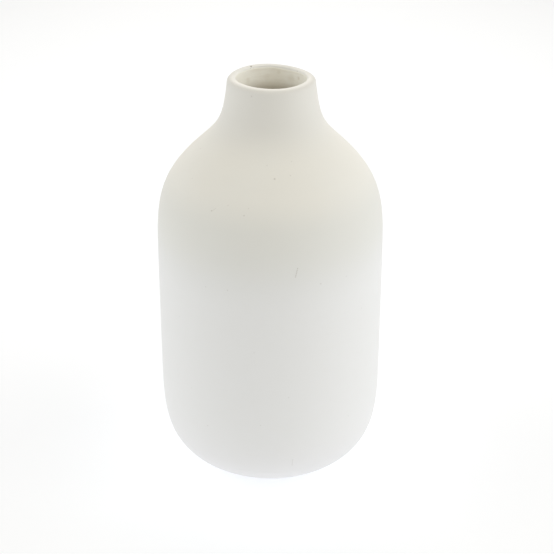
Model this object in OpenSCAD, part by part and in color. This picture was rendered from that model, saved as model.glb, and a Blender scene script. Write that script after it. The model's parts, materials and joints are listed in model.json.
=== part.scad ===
// Bottle-shaped ceramic bud vase: a slip-cast bisque body in one piece, and the coat of glaze
// that lines its inside.
// Millimetres. +Z is up, the origin is the centre of the foot's resting face, and -Y is the front.
// Both nodes are one outline in the XZ half plane, turned round the Z axis.

/* [Body] */
// Height from the table to the top of the lip
height = 120; // [105:1:160]
// Outer diameter of the straight wall
body_d = 65; // [58:1:80]
// Thickness of the cast wall
wall_t = 2.5; // [2:0.1:3.5]

/* [Foot] */
// Outer diameter of the flat foot
foot_d = 34.6; // [28:0.2:40]
// Width of the flat ring that touches the table
foot_ring_w = 3.5; // [2.5:0.5:5]
// Depth of the recess inside the foot ring
foot_recess = 0.8; // [0.4:0.1:1.2]

/* [Neck and lip] */
// Diameter of the straight throat in the bare clay
throat_d = 19.9; // [16:0.1:24]
// Length of the straight throat, below the lip's rounded inner edge
throat_h = 4.7; // [3.7:0.5:6.7]
// Thickness of the lip
lip_t = 2.4; // [1.8:0.1:3]

/* [Glaze] */
// Thickness of the glaze lining
glaze_t = 0.25; // [0.2:0.05:0.4]
// How far below the top of the lip the lining starts
glaze_drop = 0.6; // [0.5:0.1:2.5]

/* [Hidden] */

body_r = body_d / 2;
foot_r = foot_d / 2;
throat_r = throat_d / 2;

// Heights at which the outline changes from one curve to the next.
wall_low_z = 33;                      // the rounded base ends and the straight wall starts
wall_high_z = height - 53.5;          // the straight wall ends and the shoulder starts
bend_z = height - 20.4;               // the shoulder stops bulging and starts to hollow

// Directions, in degrees up from +X.
foot_rise = 23;                       // how steeply the base leaves the foot
bend_rise = 136;                      // steepness where the shoulder turns into the neck
neck_rise = 96;                       // the neck leans in a little as it meets the lip

// The lip: a wide round edge outside, a tight one inside, and between them a crown that falls outwards.
lip_outer_r = 1.3;
lip_inner_r = 0.5;
crown_normal = 80;                    // direction that the crown faces, in degrees up from +X
crown_w = (lip_t - lip_outer_r - lip_inner_r + (lip_outer_r - lip_inner_r) * cos(crown_normal))
          / sin(crown_normal);
lip_inner_centre = [throat_r + lip_inner_r, height - lip_inner_r];
lip_outer_centre = lip_inner_centre - (lip_outer_r - lip_inner_r) * heading(crown_normal)
                   - crown_w * heading(crown_normal + 90);
throat_low_z = lip_inner_centre[1] - throat_h;

// The outline's corner points.
lip_start = lip_outer_centre + lip_outer_r * heading(neck_rise - 90);
bend_share = 0.465;                   // where the bend lies, from the neck at 0 to the wall at 1
bend_point = [lip_start[0] + bend_share * (body_r - lip_start[0]), bend_z];
foot_edge_r = 0.5;                    // the foot's outer edge is sponged to this radius
floor_z = foot_recess + wall_t;       // top of the floor, inside
floor_r = 12;                         // the floor is flat to this radius

// Handle lengths of the curves, at their lower and their upper end.
base_handles = [16.25, 20.1];
shoulder_handles = [16.6, 14.8];
neck_handles = [8.9, 12];
inner_base_handles = [13.7, 17.9];
inner_neck_handles = [4, 8];

curve_steps = 24;                     // chords in each curve
lip_steps = [14, 10];                 // chords in the lip's outer and inner edge; one ends at its top
round_fn = 144;

function heading(angle) = [cos(angle), sin(angle)];

// A smooth curve from one point to another, which leaves along from_angle and arrives along to_angle.
function curve(from, from_angle, to, to_angle, handles) =
    let (a = from + handles[0] * heading(from_angle),
         b = to - handles[1] * heading(to_angle))
    [for (i = [0:curve_steps])
        let (t = i / curve_steps, s = 1 - t)
        s * s * s * from + 3 * s * s * t * a + 3 * s * t * t * b + t * t * t * to];

function arc(centre, radius, from_angle, to_angle, steps) =
    [for (i = [0:steps]) centre + radius * heading(from_angle + (to_angle - from_angle) * i / steps)];

// The points moved to the left of their path by a distance. Its ends move along their own chord's normal.
function shifted(points, distance) =
    [for (i = [0:len(points) - 1])
        let (ahead = points[min(i + 1, len(points) - 1)],
             behind = points[max(i - 1, 0)],
             along = (ahead - behind) / norm(ahead - behind))
        points[i] + distance * [-along[1], along[0]]];

function without_first(points) = [for (i = [1:len(points) - 1]) points[i]];

function reversed(points) = [for (i = [len(points) - 1:-1:0]) points[i]];

// Outside, from the centre of the foot up to the lip.
foot_path = concat(
    [[0, foot_recess], [foot_r - foot_ring_w - 2 * foot_recess, foot_recess], [foot_r - foot_ring_w, 0]],
    arc([foot_r - foot_edge_r, foot_edge_r], foot_edge_r, -90, foot_rise - 90, 4));
base_curve = curve(foot_path[len(foot_path) - 1], foot_rise, [body_r, wall_low_z], 90, base_handles);
shoulder_curve = curve([body_r, wall_high_z], 90, bend_point, bend_rise, shoulder_handles);
neck_curve = curve(bend_point, bend_rise, lip_start, neck_rise, neck_handles);
lip_curve = concat(
    arc(lip_outer_centre, lip_outer_r, neck_rise - 90, crown_normal, lip_steps[0]),
    arc(lip_inner_centre, lip_inner_r, crown_normal, 180, lip_steps[1]));
outer_path = concat(foot_path, without_first(base_curve), shoulder_curve,
                    without_first(neck_curve), without_first(lip_curve));

// Inside, from the centre of the floor up to the top of the throat.
inner_shoulder = shifted(shoulder_curve, wall_t);
inner_wall_r = body_r - wall_t;
inner_path = concat(
    [[0, floor_z]],
    curve([floor_r, floor_z], 0, [inner_wall_r, wall_low_z], 90, inner_base_handles),
    inner_shoulder,
    without_first(curve(inner_shoulder[curve_steps], bend_rise, [throat_r, throat_low_z], 90,
                        inner_neck_handles)));

// The face that the lining covers, up to its top edge in the throat.
lined_path = concat(inner_path, [[throat_r, height - glaze_drop]]);

module turned(outline) {
    rotate_extrude($fn = round_fn) polygon(outline);
}

// The cast body: rounded base on a recessed foot, straight wall, shoulder, neck and lip.
module vase_body() {
    color("#efece4") turned(concat(outer_path, reversed(inner_path)));
}

// The glaze that makes the porous body hold water: a thin coat over the floor, wall and throat.
module inner_glaze() {
    color("#f7f4ec") turned(concat(lined_path, reversed(shifted(lined_path, glaze_t))));
}

vase_body();
inner_glaze();
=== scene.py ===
"""Looks of the ceramic bud vase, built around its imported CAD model.

The clay body and its glaze lining are turned from the outline that their CAD nodes have, with the
small unevenness that casting and finishing by hand leave. Outline sizes are in millimetres, scene
sizes in metres. +Z is up, -Y is the front, and angles round the vase run from +X towards +Y.
"""
import json
import math

import bpy
import numpy as np
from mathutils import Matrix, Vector

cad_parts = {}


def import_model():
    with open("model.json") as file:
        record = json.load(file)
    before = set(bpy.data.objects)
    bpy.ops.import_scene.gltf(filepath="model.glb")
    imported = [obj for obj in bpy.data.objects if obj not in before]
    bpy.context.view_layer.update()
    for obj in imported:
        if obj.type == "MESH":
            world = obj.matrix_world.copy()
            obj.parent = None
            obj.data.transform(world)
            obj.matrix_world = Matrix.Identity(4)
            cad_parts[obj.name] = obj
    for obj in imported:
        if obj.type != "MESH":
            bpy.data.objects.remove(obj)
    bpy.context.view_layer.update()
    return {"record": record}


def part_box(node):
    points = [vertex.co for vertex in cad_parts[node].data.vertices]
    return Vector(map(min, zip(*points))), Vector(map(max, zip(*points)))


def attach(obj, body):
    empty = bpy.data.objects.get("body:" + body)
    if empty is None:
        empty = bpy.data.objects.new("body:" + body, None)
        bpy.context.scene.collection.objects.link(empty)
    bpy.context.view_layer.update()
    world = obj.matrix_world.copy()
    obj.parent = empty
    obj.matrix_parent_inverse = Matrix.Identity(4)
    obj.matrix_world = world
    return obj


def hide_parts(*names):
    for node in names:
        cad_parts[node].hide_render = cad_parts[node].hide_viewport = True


MM = 0.001

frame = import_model()


# ---------------------------------------------------------------- sizes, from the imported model

def in_mm(corner):
    return [value / MM for value in corner]


BODY_HIGH = in_mm(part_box("vase_body")[1])
GLAZE_LOW, GLAZE_HIGH = (in_mm(corner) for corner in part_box("inner_glaze"))
MOUTH = next(m for m in frame["record"]["mounts"] if m["name"] == "mouth")

HEIGHT = BODY_HIGH[2]
BODY_R = BODY_HIGH[0]
INNER_WALL_R = GLAZE_HIGH[0]
WALL = BODY_R - INNER_WALL_R
FLOOR_Z = GLAZE_LOW[2]
GLAZE_TOP_Z = GLAZE_HIGH[2]
GLAZE_R = MOUTH["dims"]["r_mm"]

# The rest of the outline, as the CAD model has it.
GLAZE_T = 0.25
THROAT_R = GLAZE_R + GLAZE_T
THROAT_H = 4.7
LIP_T = 2.4
LIP_OUTER_R = 1.3
LIP_INNER_R = 0.5
CROWN_NORMAL = 80
FOOT_R = 17.3
FOOT_RING_W = 3.5
FOOT_RECESS = 0.8
FOOT_EDGE_R = 0.5
FLOOR_R = 12.0
WALL_LOW_Z = 33.0
WALL_HIGH_Z = HEIGHT - 53.5
BEND_Z = HEIGHT - 20.4
BEND_SHARE = 0.465
FOOT_RISE = 23
BEND_RISE = 136
NECK_RISE = 96
BASE_HANDLES = (16.25, 20.1)
SHOULDER_HANDLES = (16.6, 14.8)
NECK_HANDLES = (8.9, 12)
INNER_BASE_HANDLES = (13.7, 17.9)
INNER_NECK_HANDLES = (4, 8)

THROAT_LOW_Z = HEIGHT - LIP_INNER_R - THROAT_H


# ---------------------------------------------------------------- outline

def heading(angle):
    return np.array([math.cos(math.radians(angle)), math.sin(math.radians(angle))])


def line(start, end, steps):
    share = np.linspace(0, 1, steps + 1)[:, None]
    return np.array(start) * (1 - share) + np.array(end) * share


def curve(start, start_angle, end, end_angle, handles, steps):
    """A smooth curve that leaves along one direction and arrives along another."""
    start, end = np.array(start, float), np.array(end, float)
    a = start + handles[0] * heading(start_angle)
    b = end - handles[1] * heading(end_angle)
    t = np.linspace(0, 1, steps + 1)[:, None]
    s = 1 - t
    return s ** 3 * start + 3 * s * s * t * a + 3 * s * t * t * b + t ** 3 * end


def arc(centre, radius, start_angle, end_angle, steps):
    angles = np.linspace(start_angle, end_angle, steps + 1)
    return np.array([np.array(centre) + radius * heading(angle) for angle in angles])


def left_of(points, distance):
    """The points moved to the left of their path, each by its own distance if there are several."""
    ahead = np.vstack([points[1:], points[-1:]])
    behind = np.vstack([points[:1], points[:-1]])
    along = (ahead - behind) / np.linalg.norm(ahead - behind, axis=1)[:, None]
    return points + np.array(distance).reshape(-1, 1) * np.column_stack([-along[:, 1], along[:, 0]])


def path(*stretches):
    """Stretches joined end to end, with the point that two of them share kept once."""
    joined = [stretches[0]]
    joined += [stretch[1:] for stretch in stretches[1:]]
    return np.vstack(joined)


def outline():
    """The body's outside from the foot's centre to the lip, its inside, and the face that is glazed."""
    fall = (LIP_OUTER_R - LIP_INNER_R) * heading(CROWN_NORMAL)
    crown_w = (LIP_T - LIP_OUTER_R - LIP_INNER_R + fall[0]) / math.sin(math.radians(CROWN_NORMAL))
    inner_edge = np.array([THROAT_R + LIP_INNER_R, HEIGHT - LIP_INNER_R])
    outer_edge = inner_edge - fall - crown_w * heading(CROWN_NORMAL + 90)
    lip_start = outer_edge + LIP_OUTER_R * heading(NECK_RISE - 90)
    bend = [lip_start[0] + BEND_SHARE * (BODY_R - lip_start[0]), BEND_Z]
    ring_r = FOOT_R - FOOT_RING_W
    foot_edge = arc([FOOT_R - FOOT_EDGE_R, FOOT_EDGE_R], FOOT_EDGE_R, -90, FOOT_RISE - 90, 4)
    shoulder = curve([BODY_R, WALL_HIGH_Z], 90, bend, BEND_RISE, SHOULDER_HANDLES, 52)
    outside = path(
        line([0, FOOT_RECESS], [ring_r - 2 * FOOT_RECESS, FOOT_RECESS], 8),
        line([ring_r - 2 * FOOT_RECESS, FOOT_RECESS], [ring_r, 0], 3),
        line([ring_r, 0], foot_edge[0], 4),
        foot_edge,
        curve(foot_edge[-1], FOOT_RISE, [BODY_R, WALL_LOW_Z], 90, BASE_HANDLES, 44),
        line([BODY_R, WALL_LOW_Z], [BODY_R, WALL_HIGH_Z], 36),
        shoulder,
        curve(bend, BEND_RISE, lip_start, NECK_RISE, NECK_HANDLES, 40),
        arc(outer_edge, LIP_OUTER_R, NECK_RISE - 90, CROWN_NORMAL, 18),
        line(outer_edge + LIP_OUTER_R * heading(CROWN_NORMAL),
             inner_edge + LIP_INNER_R * heading(CROWN_NORMAL), 4),
        arc(inner_edge, LIP_INNER_R, CROWN_NORMAL, 180, 10),
        line([THROAT_R, inner_edge[1]], [THROAT_R, THROAT_LOW_Z], 12)[:-1],
    )
    inner_shoulder = left_of(shoulder, WALL)
    inside = path(
        line([0, FLOOR_Z], [FLOOR_R, FLOOR_Z], 8),
        curve([FLOOR_R, FLOOR_Z], 0, [INNER_WALL_R, WALL_LOW_Z], 90, INNER_BASE_HANDLES, 30),
        line([INNER_WALL_R, WALL_LOW_Z], inner_shoulder[0], 12),
        inner_shoulder,
        curve(inner_shoulder[-1], BEND_RISE, [THROAT_R, THROAT_LOW_Z], 90, INNER_NECK_HANDLES, 24),
    )
    glazed = path(inside, line([THROAT_R, THROAT_LOW_Z], [THROAT_R, GLAZE_TOP_Z], 16))
    return outside, inside, glazed


# ---------------------------------------------------------------- unevenness of a hand-finished casting

WALL_WAVE = 0.03                # how far the wall is out of round
WALL_WAVE_FROM = (1, 12)        # the heights over which it sets in, and so on below
NECK_LEAN = 0.38                # the neck sits this far to +X of the body
NECK_LEAN_FROM = (88, 114)
RIM_LEVEL = 0.015               # how far the rim's mean height is above the CAD model's
RIM_WAVES_FROM = (104, 117)
# The waves of the rim: how many of each go round the mouth, their phase and their height.
RIM_WAVES = (
    (1, -166, 0.13),
    (2, -135, 0.07),
    (3, -41, 0.10),
)
GLAZE_EDGE_THINNING = 0.88      # the share of its thickness that the lining loses at its top edge


def eased(value, low, high):
    """0 below low, 1 above high and smooth in between."""
    t = np.clip((value - low) / (high - low), 0, 1)
    return t * t * (3 - 2 * t)


def hand_finish(x, y, z):
    """Moves points of a perfect turned shape to where the real, slightly uneven one has them."""
    angle = np.arctan2(y, x)
    out = WALL_WAVE * np.sin(2 * angle + 0.9 + z / 37) + 0.6 * WALL_WAVE * np.sin(3 * angle - z / 21)
    out = out * eased(z, *WALL_WAVE_FROM)
    r = np.hypot(x, y) + 1e-9
    x = x * (1 + out / r) + NECK_LEAN * eased(z, *NECK_LEAN_FROM)
    y = y * (1 + out / r)
    waves = [size * np.cos(count * angle - math.radians(phase)) for count, phase, size in RIM_WAVES]
    z = z + (RIM_LEVEL + sum(waves)) * eased(z, *RIM_WAVES_FROM)
    return x, y, z


# ---------------------------------------------------------------- meshes

BODY_SEGMENTS = 272
GLAZE_SEGMENTS = 256


def turned(name, points, segments, shape):
    """A closed surface turned round the Z axis. The points start and end on the axis."""
    ends, rings = points[[0, -1]], points[1:-1]
    angles = np.linspace(0, 2 * math.pi, segments, endpoint=False)
    x = np.outer(rings[:, 0], np.cos(angles)).ravel()
    y = np.outer(rings[:, 0], np.sin(angles)).ravel()
    z = np.repeat(rings[:, 1], segments)
    x, y, z = np.append(x, [0, 0]), np.append(y, [0, 0]), np.append(z, ends[:, 1])
    vertices = np.column_stack(shape(x, y, z)) * MM
    first = len(vertices) - 2
    faces = []
    for ring in range(len(rings) - 1):
        for step in range(segments):
            after = (step + 1) % segments
            low, high = ring * segments, (ring + 1) * segments
            faces.append((low + step, low + after, high + after, high + step))
    last_ring = (len(rings) - 1) * segments
    for step in range(segments):
        after = (step + 1) % segments
        faces.append((first, after, step))
        faces.append((first + 1, last_ring + step, last_ring + after))
    mesh = bpy.data.meshes.new(name)
    mesh.from_pydata(vertices.tolist(), [], faces)
    mesh.validate()
    mesh.shade_smooth()
    piece = bpy.data.objects.new(name, mesh)
    bpy.context.scene.collection.objects.link(piece)
    return piece


def clay_body(outside, inside):
    section = np.vstack([outside, inside[::-1]])
    return turned("clay_body", section, BODY_SEGMENTS, hand_finish)


def glaze_coat(glazed):
    """The lining: it lies on the clay, and thins out to a wavy edge just below the lip."""
    thickness = GLAZE_T * (1 - GLAZE_EDGE_THINNING * eased(glazed[:, 1], THROAT_LOW_Z, GLAZE_TOP_Z))
    section = np.vstack([glazed, left_of(glazed, thickness)[::-1]])

    def shape(x, y, z):
        angle = np.arctan2(y, x)
        wave = 0.10 * np.sin(2 * angle + 2.1) + 0.06 * np.sin(5 * angle) + 0.04 * np.sin(9 * angle + 1)
        return hand_finish(x, y, z + (wave - 0.1) * eased(z, THROAT_LOW_Z, GLAZE_TOP_Z))

    return turned("glaze_coat", section, GLAZE_SEGMENTS, shape)


# ---------------------------------------------------------------- materials

def add(tree, kind, inputs=None, **settings):
    """A new node. Each input is set to a value, or linked if it is given a socket."""
    node = tree.nodes.new("ShaderNode" + kind)
    for name, value in settings.items():
        setattr(node, name, value)
    for name, value in (inputs or {}).items():
        if isinstance(value, bpy.types.NodeSocket):
            tree.links.new(value, node.inputs[name])
        else:
            node.inputs[name].default_value = value
    return node


def new_material(name):
    material = bpy.data.materials.new(name)
    material.use_nodes = True
    tree = material.node_tree
    tree.nodes.clear()
    output = add(tree, "OutputMaterial")
    shader = add(tree, "BsdfPrincipled")
    tree.links.new(shader.outputs["BSDF"], output.inputs["Surface"])
    return material, tree, shader


def place_in_mm(tree, scale=(1, 1, 1)):
    """The point on the piece, in millimetres, with each axis scaled."""
    coordinates = add(tree, "TexCoord")
    return add(tree, "VectorMath", {0: coordinates.outputs["Object"],
                                    1: [axis / MM for axis in scale]},
               operation="MULTIPLY").outputs[0]


def noise(tree, place, scale, detail=3.0, roughness=0.5):
    return add(tree, "TexNoise", {"Vector": place, "Scale": scale, "Detail": detail,
                                  "Roughness": roughness}).outputs[0]


def spread(tree, value, low, high, to_low=0.0, to_high=1.0):
    """value mapped from one range to another and kept inside it."""
    return add(tree, "MapRange", {"Value": value, "From Min": low, "From Max": high,
                                  "To Min": to_low, "To Max": to_high}).outputs[0]


def smooth(tree, value, low, high, to_low=0.0, to_high=1.0):
    """The same, eased at both ends."""
    return add(tree, "MapRange", {"Value": value, "From Min": low, "From Max": high,
                                  "To Min": to_low, "To Max": to_high},
               interpolation_type="SMOOTHSTEP").outputs[0]


def maths(tree, operation, a, b):
    return add(tree, "Math", {0: a, 1: b}, operation=operation).outputs[0]


def blended(tree, share, a, b):
    """Colour a where share is 0 and colour b where it is 1."""
    mix = tree.nodes.new("ShaderNodeMix")
    mix.data_type = "RGBA"
    for socket, value in ((mix.inputs[0], share), (mix.inputs[6], a), (mix.inputs[7], b)):
        if isinstance(value, bpy.types.NodeSocket):
            tree.links.new(value, socket)
        else:
            socket.default_value = value
    return mix.outputs[2]


CLAY = (0.832, 0.811, 0.752, 1)
CLAY_WARM = (0.826, 0.80, 0.733, 1)
# Painted light: the lower body's cooler tint, for the cool light that reaches it from the floor and the
# sides.
LOW_COOL_LIGHT_TINT = (0.808, 0.807, 0.812, 1)
# Painted shade: the clay a little darker near the foot.
BASE_SHADE_TONE = (0.803, 0.793, 0.803, 1)
# Painted shade: a darker band round the shoulder.
SHOULDER_SHADE_TONE = (0.704, 0.704, 0.67, 1)
# Painted shade: the neck darker than the body.
NECK_SHADE_TONE = (0.728, 0.707, 0.66, 1)
FOOT_TONE = (0.74, 0.72, 0.68, 1)
SPECK = (0.30, 0.25, 0.20, 1)
# Painted highlight: lighter clay along the lip, where it catches the light.
LIP_HIGHLIGHT_TONE = (0.92, 0.895, 0.84, 1)
GLAZE = (0.955, 0.93, 0.835, 1)
GLAZE_WARM = (0.94, 0.90, 0.78, 1)
# Painted shade: the glaze darker deep in the neck, where little light reaches.
GLAZE_DEEP_SHADE = (0.56, 0.505, 0.405, 1)
GLAZE_STAIN = (0.66, 0.58, 0.44, 1)

# The heights over which the clay's painted light and shade change. The painted cool light of the lower
# body, the painted shade near the foot and the worn foot lie below theirs, the painted shade of the
# neck above, and the painted shade band round the shoulder sets in over one range and ends over the
# other.
LOW_COOL_LIGHT_RANGE = (70, 86)
BASE_SHADE_RANGE = (8, 26)
WORN_RANGE = (0.3, 1.1)
SHOULDER_SHADE_START = (62, 82)
SHOULDER_SHADE_END = (85, 95)
SHOULDER_SHADE_STRENGTH = 0.7
NECK_SHADE_RANGE = (100, 111)

# The glaze has painted shade below these heights, deep in the neck, and streaks of its stain tone at
# this strength.
GLAZE_DEEP_SHADE_RANGE = (112, 117)
STREAK_STRENGTH = 0.28

# A highlight painted along the lip: lighter clay where the lip catches the light. It ends over the
# radii below from the mouth's axis, and lies above the heights. From front to back, over the depths
# along Y, it fades to the share at the back, but not at the inner edge, inside the edge radii. The
# shine is how much roughness it takes away.
LIP_HIGHLIGHT_RADII = (THROAT_R + 0.8, THROAT_R + 1.9)
LIP_HIGHLIGHT_EDGE_RADII = (THROAT_R + 0.1, THROAT_R + 0.6)
LIP_HIGHLIGHT_HEIGHTS = (117.5, 118.5)
LIP_HIGHLIGHT_DEPTHS = (-8, 6)
LIP_HIGHLIGHT_BACK = 0.35
LIP_HIGHLIGHT_SHINE = 0.35

# The back has specks at random, which set in over this range along Y.
SPECKS_FROM = (-2, 3)
SPECK_SPACING = 6.0
SPECK_RADIUS = 0.3

# Single marks in the clay and the glaze, each with its angle, height, radius and darkness.
CLAY_MARKS = [
    (-164, 101, 0.25, 0.3),
    (-147, 95.5, 0.22, 0.25),
    (-142, 56, 0.2, 0.25),
    (-134, 34.5, 0.2, 0.25),
    (-124, 24, 0.25, 0.3),
    (-123, 69, 0.22, 0.35),
    (-123, 90.5, 0.24, 0.5),
    (-114, 92.5, 0.2, 0.3),
    (-111, 69.5, 0.22, 0.35),
    (-104, 90.7, 0.24, 0.5),
    (-102, 92.4, 0.2, 0.35),
    (-98, 51, 0.2, 0.3),
    (-95, 27.5, 0.2, 0.3),
    (-93, 101.6, 0.2, 0.3),
    (-87.3, 98.9, 0.36, 0.45),
    (-81, 36.5, 0.2, 0.35),
    (-76, 99.4, 0.22, 0.4),
    (-73, 102.2, 0.2, 0.3),
    (-65, 71, 0.24, 0.45),
    (-50, 71, 0.2, 0.3),
    (-46, 25, 0.2, 0.3),
    (-38, 58.5, 0.2, 0.3),
]
NECK_PIT = (-115.5, 118.1, 0.3, 0.3)
# A short scratch below the shoulder, a drag mark beside one speck and a streak above the foot.
SCRATCH = [(-76.9 - 0.2 * step, 76.6 - 0.48 * step, 0.2, 0.75) for step in range(6)]
DRAG = [(-122.6 + 0.3 * step, 90.5 + 0.13 * step, 0.14, 0.3) for step in range(7)]
STREAK = [(-78.4, 12.6 + 0.45 * step, 0.26, 0.22) for step in range(6)]
# The dark speck on the rim's inner edge, and the pits beside it.
RIM_SPECK = [
    (123.6, 119.93, 0.42, 1.0),
    (126, 119.4, 0.2, 0.5),
    (119.5, 119.3, 0.2, 0.4),
]
GLAZE_STAINS = [
    (39, 117.6, 0.7, 0.5),
    (78, 118.0, 0.8, 0.3),
    (86, 118.4, 1.4, 0.1),
    (55, 117.0, 1.6, 0.3),
    (98, 116.6, 1.2, 0.15),
    (132, 116.4, 1.0, 0.3),
]


def on_wall(wall, angle, height):
    """The point of a wall's outline at that height, turned to that angle."""
    r = np.interp(height, wall[:, 1], wall[:, 0])
    x, y = r * heading(angle)
    return [float(value[0]) for value in hand_finish(*(np.array([v]) for v in (x, y, height)))]


def spots(tree, place, wall, marks):
    """How dark the marks make each point: 0 off them."""
    mask = 0.0
    for angle, height, radius, darkness in marks:
        away = add(tree, "VectorMath", {0: place, 1: on_wall(wall, angle, height)},
                   operation="DISTANCE").outputs["Value"]
        mask = maths(tree, "MAXIMUM", mask, spread(tree, away, 0.3 * radius, radius, darkness, 0))
    return mask


def random_specks(tree, place, spacing, radius):
    """Round specks at random, each with its own darkness."""
    cells = add(tree, "TexVoronoi", {"Vector": place, "Scale": 1 / spacing})
    dot = spread(tree, cells.outputs["Distance"], 0.4 * radius / spacing, radius / spacing, 1, 0)
    tone = add(tree, "SeparateColor", {0: cells.outputs["Color"]}).outputs[0]
    return maths(tree, "MULTIPLY", dot, spread(tree, tone, 0, 1, 0.15, 0.8))


def bisque(wall, inner_rim):
    """Matt fired clay: painted light and shade that change with height, faint clouds, a fine grain,
    specks, pits and a painted highlight on the lip.
    """
    material, tree, shader = new_material("bisque")
    place = place_in_mm(tree)
    axes = add(tree, "SeparateXYZ", {0: place})
    clouds = noise(tree, place, 0.05, 3)
    mottle = noise(tree, place, 0.35, 4, 0.6)
    marks = noise(tree, place_in_mm(tree, (0.06, 0.06, 1.3)), 1.0, 3)
    grain = noise(tree, place, 2.6, 3, 0.6)
    height = axes.outputs["Z"]
    colour = blended(tree, spread(tree, clouds, 0.35, 0.65), CLAY, CLAY_WARM)
    # Painted light: the lower body in a cooler tint.
    colour = blended(tree, smooth(tree, height, *LOW_COOL_LIGHT_RANGE, 1, 0), colour, LOW_COOL_LIGHT_TINT)
    # Painted shade near the foot.
    colour = blended(tree, smooth(tree, height, *BASE_SHADE_RANGE, 1, 0), colour, BASE_SHADE_TONE)
    # Painted shade: a darker band round the shoulder.
    shoulder_shade = maths(tree, "MULTIPLY", smooth(tree, height, *SHOULDER_SHADE_START),
                 smooth(tree, height, *SHOULDER_SHADE_END, 1, 0))
    colour = blended(tree, maths(tree, "MULTIPLY", shoulder_shade, SHOULDER_SHADE_STRENGTH), colour, SHOULDER_SHADE_TONE)
    # Painted shade: the neck darker than the body.
    colour = blended(tree, smooth(tree, height, *NECK_SHADE_RANGE), colour, NECK_SHADE_TONE)
    faint = maths(tree, "ADD", spread(tree, mottle, 0.3, 0.7, 0, 0.05),
                  spread(tree, marks, 0.3, 0.7, 0, 0.03))
    faint = maths(tree, "ADD", faint, spread(tree, grain, 0.3, 0.7, 0, 0.05))
    colour = blended(tree, faint, colour, FOOT_TONE)
    worn = maths(tree, "MULTIPLY", spread(tree, height, *WORN_RANGE, 1, 0),
                 spread(tree, mottle, 0.35, 0.6))
    colour = blended(tree, worn, colour, FOOT_TONE)
    radial = add(tree, "VectorMath", {0: place, 1: (NECK_LEAN, 0, 0)}, operation="SUBTRACT").outputs[0]
    radial = add(tree, "VectorMath", {0: radial, 1: (1, 1, 0)}, operation="MULTIPLY").outputs[0]
    radial = add(tree, "VectorMath", {0: radial}, operation="LENGTH").outputs["Value"]
    # Painted highlight along the lip, fading towards the back.
    lip_highlight = maths(tree, "MULTIPLY", spread(tree, radial, *LIP_HIGHLIGHT_RADII, 1, 0),
                  spread(tree, height, *LIP_HIGHLIGHT_HEIGHTS))
    edge = spread(tree, radial, *LIP_HIGHLIGHT_EDGE_RADII, 1, 0)
    fainter = smooth(tree, axes.outputs["Y"], *LIP_HIGHLIGHT_DEPTHS, 1, LIP_HIGHLIGHT_BACK)
    lip_highlight = maths(tree, "MULTIPLY", lip_highlight, maths(tree, "MAXIMUM", fainter, edge))
    colour = blended(tree, lip_highlight, colour, LIP_HIGHLIGHT_TONE)
    behind = spread(tree, axes.outputs["Y"], *SPECKS_FROM)
    specks = maths(tree, "MULTIPLY", random_specks(tree, place, SPECK_SPACING, SPECK_RADIUS), behind)
    placed = spots(tree, place, wall, CLAY_MARKS + [NECK_PIT] + SCRATCH + DRAG + STREAK)
    specks = maths(tree, "MAXIMUM", specks, placed)
    specks = maths(tree, "MAXIMUM", specks, spots(tree, place, inner_rim, RIM_SPECK))
    colour = blended(tree, specks, colour, SPECK)
    tree.links.new(colour, shader.inputs["Base Color"])
    matt = spread(tree, mottle, 0.3, 0.7, 0.86, 0.94)
    tree.links.new(maths(tree, "SUBTRACT", matt, maths(tree, "MULTIPLY", lip_highlight, LIP_HIGHLIGHT_SHINE)),
                   shader.inputs["Roughness"])
    relief = maths(tree, "ADD", grain, maths(tree, "MULTIPLY", marks, 0.8))
    relief = maths(tree, "SUBTRACT", relief, maths(tree, "MULTIPLY", specks, 2.0))
    bump = add(tree, "Bump", {"Height": relief, "Strength": 0.5, "Distance": 0.00003})
    tree.links.new(bump.outputs[0], shader.inputs["Normal"])
    return material


def satin_glaze(wall):
    """The lining: a warm white glaze with a soft shine, painted shade deep down, streaks and stains."""
    material, tree, shader = new_material("satin_glaze")
    place = place_in_mm(tree)
    pools = noise(tree, place, 0.22, 3, 0.6)
    streaks = noise(tree, place_in_mm(tree, (0.16, 0.16, 1.2)), 1.0, 4, 0.6)
    colour = blended(tree, spread(tree, pools, 0.35, 0.7), GLAZE, GLAZE_WARM)
    colour = blended(tree, spread(tree, streaks, 0.45, 0.75, 0, STREAK_STRENGTH), colour, GLAZE_STAIN)
    height = add(tree, "SeparateXYZ", {0: place}).outputs["Z"]
    # Painted shade deep in the neck.
    colour = blended(tree, smooth(tree, height, *GLAZE_DEEP_SHADE_RANGE, 1, 0), colour, GLAZE_DEEP_SHADE)
    colour = blended(tree, spots(tree, place, wall, GLAZE_STAINS), colour, GLAZE_STAIN)
    tree.links.new(colour, shader.inputs["Base Color"])
    tree.links.new(spread(tree, pools, 0.3, 0.7, 0.42, 0.55), shader.inputs["Roughness"])
    bump = add(tree, "Bump", {"Height": pools, "Strength": 0.4, "Distance": 0.0003})
    tree.links.new(bump.outputs[0], shader.inputs["Normal"])
    return material


# ---------------------------------------------------------------- studio

# The room's light from each side: the axis that it comes along, which end of it, and its colour.
ROOM_LIGHT = [
    ("Y", -1, (0.20, 0.22, 0.18)),
    ("Y", 1, (1.11, 1.085, 1.05)),
    ("X", 1, (0.98, 1.035, 1.05)),
    ("X", -1, (1.02, 1.075, 1.09)),
    ("Z", 1, (0.13, 0.08, 0.0)),
]
PHOTO_GAMMA = 1.333             # the soft contrast of a bright product photograph

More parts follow.
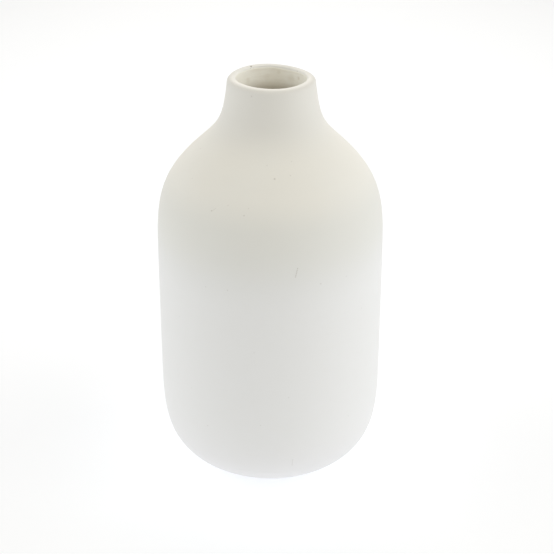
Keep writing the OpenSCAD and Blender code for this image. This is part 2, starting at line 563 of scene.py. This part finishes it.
# Each soft box: name, angle round the vase from the front, angle up, and colour times strength.
BOX_DISTANCE = 0.65
BOX_SIZE = 0.36
SOFT_BOXES = [
    ("front", 0, 35, (0.95, 0.885, 0.80)),
    ("right", 60, 20, (0.72, 0.745, 0.755)),
    ("high_right", 60, 50, (1.275, 1.225, 1.145)),
    ("far_right", 90, 20, (0.525, 0.555, 0.57)),
    ("high_far_right", 90, 45, (1.32, 1.30, 1.255)),
    ("back", 180, 20, (0.87, 0.845, 0.815)),
    ("high_back", 180, 35, (1.105, 1.07, 1.035)),
    ("far_left", 270, 20, (0.66, 0.685, 0.695)),
    ("high_far_left", 270, 45, (1.45, 1.425, 1.37)),
]

FLOOR_TONE = (0.6, 0.6, 0.6, 1)
FLOOR_RADIUS = 3
FLOOR_GAP = 0.0001              # the floor lies this far under the foot, so that no faces coincide
# The floor is lit from under it: by a broad pool of light behind the vase, and by a small one
# round its foot that fades towards the foot itself.
BROAD_POOL = ((0, 0.2, 0), 0.6, (0.50, 0.515, 0.545))
NEAR_POOL = ((0, 0, 0), 0.045, (0.20, 0.22, 0.25))
NEAR_POOL_HOLE = 0.02


def direction(azimuth, elevation):
    """From the vase towards a viewer at that angle round it and above it. 0 is the front."""
    a, e = math.radians(azimuth), math.radians(elevation)
    return Vector((math.sin(a) * math.cos(e), -math.cos(a) * math.cos(e), math.sin(e)))


def aim(thing, target):
    thing.rotation_euler = (target - thing.location).to_track_quat("-Z", "Y").to_euler()


def soft_box(name, azimuth, elevation, colour):
    data = bpy.data.lights.new("soft_box_" + name, "AREA")
    data.shape = "SQUARE"
    data.size = BOX_SIZE
    strength = max(colour)
    data.color = [channel / strength for channel in colour]
    data.energy = strength * math.pi * BOX_SIZE * BOX_SIZE
    box = bpy.data.objects.new(data.name, data)
    bpy.context.scene.collection.objects.link(box)
    centre = Vector((0, 0, HEIGHT / 2 * MM))
    box.location = centre + direction(azimuth, elevation) * BOX_DISTANCE
    aim(box, centre)
    box.visible_camera = False
    return box


def pool_of_light(tree, place, centre, radius):
    """1 at the centre, fading smoothly outwards."""
    away = add(tree, "VectorMath", {0: place, 1: centre}, operation="DISTANCE").outputs["Value"]
    share = maths(tree, "POWER", maths(tree, "DIVIDE", away, radius), 2.0)
    return maths(tree, "EXPONENT", maths(tree, "MULTIPLY", share, -1.0), 0.0)


def scaled(tree, colour, factor):
    return add(tree, "VectorMath", {0: colour, "Scale": factor}, operation="SCALE").outputs[0]


def floor():
    material, tree, shader = new_material("floor")
    shader.inputs["Base Color"].default_value = FLOOR_TONE
    shader.inputs["Roughness"].default_value = 0.95
    place = add(tree, "TexCoord").outputs["Object"]
    centre, radius, colour = BROAD_POOL
    broad = scaled(tree, colour, pool_of_light(tree, place, centre, radius))
    centre, radius, colour = NEAR_POOL
    ring = maths(tree, "SUBTRACT", pool_of_light(tree, place, centre, radius),
                 pool_of_light(tree, place, centre, NEAR_POOL_HOLE))
    near = scaled(tree, colour, ring)
    glow = add(tree, "VectorMath", {0: broad, 1: near}, operation="ADD").outputs[0]
    tree.links.new(glow, shader.inputs["Emission Color"])
    shader.inputs["Emission Strength"].default_value = 1
    bpy.ops.mesh.primitive_circle_add(vertices=96, radius=FLOOR_RADIUS, fill_type="NGON")
    sheet = bpy.context.object
    sheet.name = "floor"
    sheet.location.z = -FLOOR_GAP
    sheet.data.materials.append(material)
    return sheet


def world():
    """The room's light, which blends from side to side round the vase."""
    studio = bpy.data.worlds.new("studio")
    studio.use_nodes = True
    tree = studio.node_tree
    background = tree.nodes["Background"]
    axes = add(tree, "SeparateXYZ", {0: add(tree, "TexCoord").outputs["Generated"]})
    light = (0, 0, 0)
    for axis, end, colour in ROOM_LIGHT:
        towards = maths(tree, "MAXIMUM", maths(tree, "MULTIPLY", axes.outputs[axis], end), 0.0)
        share = maths(tree, "POWER", towards, 2.0)
        light = add(tree, "VectorMath", {0: light, 1: scaled(tree, colour, share)},
                    operation="ADD").outputs[0]
    tree.links.new(light, background.inputs["Color"])
    bpy.context.scene.world = studio


CAMERA_DISTANCE = 0.4306
CAMERA_ELEVATION = 26.37
LENS = 95.42
SENSOR_WIDTH = 36
SHIFT = (0.0121, -0.0091)
ROLL = -0.11                    # degrees that the camera leans to one side


def camera():
    data = bpy.data.cameras.new("camera")
    data.lens = LENS
    data.sensor_width = SENSOR_WIDTH
    data.shift_x, data.shift_y = SHIFT
    data.clip_start, data.clip_end = 0.01, 20
    view = bpy.data.objects.new("camera", data)
    bpy.context.scene.collection.objects.link(view)
    target = Vector((0, 0, HEIGHT / 2 * MM))
    view.location = target + direction(0, CAMERA_ELEVATION) * CAMERA_DISTANCE
    aim(view, target)
    view.rotation_euler.rotate_axis("Z", math.radians(ROLL))
    bpy.context.scene.camera = view


# ---------------------------------------------------------------- the scene

camera()
world()
floor()
for box in SOFT_BOXES:
    soft_box(*box)
bpy.context.scene.view_settings.view_transform = "Standard"
bpy.context.scene.view_settings.gamma = PHOTO_GAMMA

outside, inside, glazed = outline()
lip_top = np.argmax(outside[:, 1])
outer_wall = outside[np.argmin(outside[:, 1]):lip_top + 1]
inner_rim = outside[:lip_top - 1:-1]

body = clay_body(outside, inside)
body.data.materials.append(bisque(outer_wall, inner_rim))
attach(body, "root")
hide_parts("vase_body")

lining = glaze_coat(glazed)
lining.data.materials.append(satin_glaze(glazed))
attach(lining, "root")
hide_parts("inner_glaze")
